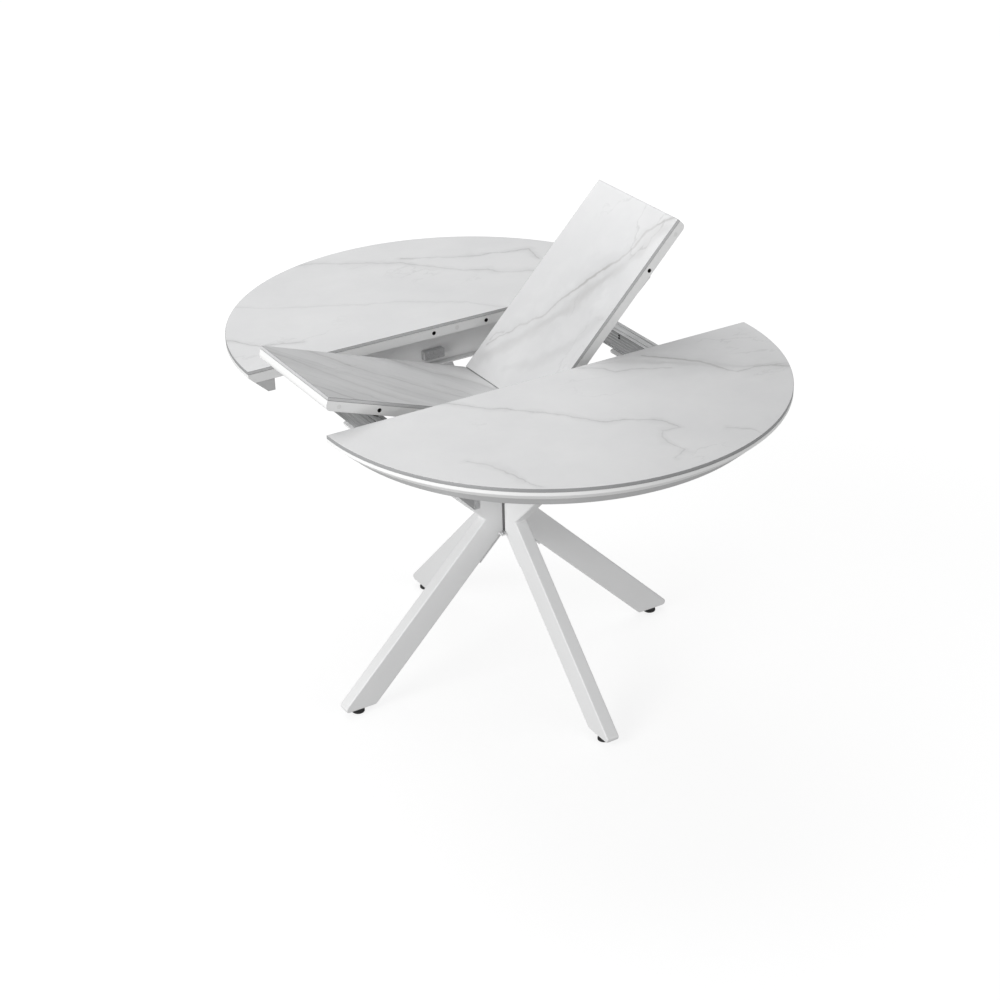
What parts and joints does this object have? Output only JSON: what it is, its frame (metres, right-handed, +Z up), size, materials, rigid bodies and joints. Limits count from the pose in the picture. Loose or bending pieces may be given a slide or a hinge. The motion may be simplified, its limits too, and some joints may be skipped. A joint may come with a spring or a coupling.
{
  "type": "extending dining table",
  "caption": "Round pedestal dining table with a stone top that slides apart over a folding butterfly leaf, on crossed bent-tube legs.",
  "frame": {"origin": "on the floor under the hub, at the centre of the base", "axes": "+Z up; X along the split between the half tops; Y the way the half tops slide, near half at -Y"},
  "size_m": [1, 1.35, 1.0271],
  "materials": {
    "sintered_stone": "satin white stone with grey veins",
    "white_lacquer": "white lacquered board",
    "white_powder_coat": "white powder coat",
    "anodised_aluminium": "satin anodised",
    "zinc_steel": "zinc plated",
    "black_plastic": "matte black",
    "white_plastic": "matte white",
    "blackened_steel": "black finish",
    "beech_dowel": "plain beech"
  },
  "bodies": {
    "base": {"hub_post": "blackened_steel", "hub_bracket_lower": "white_powder_coat", "hub_bracket_upper": "white_powder_coat", "lower_leg_right": "white_powder_coat", "upper_arm_right": "white_powder_coat", "glide_right": "black_plastic", "lower_leg_far": "white_powder_coat", "upper_arm_far": "white_powder_coat", "glide_far": "black_plastic", "lower_leg_left": "white_powder_coat", "upper_arm_left": "white_powder_coat", "glide_left": "black_plastic", "lower_leg_near": "white_powder_coat", "upper_arm_near": "white_powder_coat", "glide_near": "black_plastic", "hub_bolt_1": "blackened_steel", "hub_screw_1": "zinc_steel", "hub_bolt_2": "blackened_steel", "hub_screw_2": "zinc_steel", "hub_bolt_3": "blackened_steel", "hub_screw_3": "zinc_steel", "hub_bolt_4": "blackened_steel", "hub_screw_4": "zinc_steel", "rail_left": "anodised_aluminium", "rail_right": "anodised_aluminium", "beam_near": "white_powder_coat", "beam_far": "white_powder_coat", "bearer_near": "white_powder_coat", "bearer_far": "white_powder_coat", "slide_pad_near": "white_plastic", "slide_pad_far": "white_plastic", "leaf_catch": "zinc_steel", "pivot_rod": "zinc_steel", "pivot_bracket_near": "zinc_steel", "pivot_bracket_far": "zinc_steel"},
    "near_top": {"near_top_stone": "sintered_stone", "near_top_board": "white_lacquer", "near_top_apron": "white_lacquer", "near_runner_left": "anodised_aluminium", "near_runner_right": "anodised_aluminium", "near_dowel_left": "beech_dowel", "near_dowel_right": "beech_dowel"},
    "far_top": {"far_top_stone": "sintered_stone", "far_top_board": "white_lacquer", "far_top_apron": "white_lacquer", "far_runner_left": "anodised_aluminium", "far_runner_right": "anodised_aluminium"},
    "leaf_left": {"leaf_stone_left": "sintered_stone", "leaf_board_left": "white_lacquer", "hinge_leaf_left": "zinc_steel", "hinge_pin": "zinc_steel", "leaf_pivot_hanger": "zinc_steel", "leaf_dowel_left": "beech_dowel", "leaf_bumper_near": "black_plastic", "leaf_bumper_far": "black_plastic"},
    "leaf_right": {"leaf_stone_right": "sintered_stone", "leaf_board_right": "white_lacquer", "hinge_leaf_right": "zinc_steel", "leaf_dowel_right": "beech_dowel", "leaf_foot_bar": "black_plastic"}
  },
  "joints": [
    {"name": "near_top_slide", "type": "slide", "parent": "base", "child": "near_top", "axis": [0, 1, 0], "range_m": [0, 0.0265]},
    {"name": "far_top_slide", "type": "slide", "parent": "base", "child": "far_top", "axis": [0, -1, 0], "range_m": [0, 0.0265]},
    {"name": "leaf_tilt", "type": "hinge", "parent": "base", "child": "leaf_left", "pos_m": [-0.3, 0, 0.735], "axis": [0, -1, 0], "range_deg": [-7, 19.25]},
    {"name": "leaf_fold", "type": "hinge", "parent": "leaf_left", "child": "leaf_right", "pos_m": [-0.00589, 0, 0.66725], "axis": [0, 1, 0], "range_deg": [-24, 65.07]}
  ],
  "couplings": [
    {"joint": "leaf_fold", "follows": "leaf_tilt", "ratio": 3.3792}
  ]
}
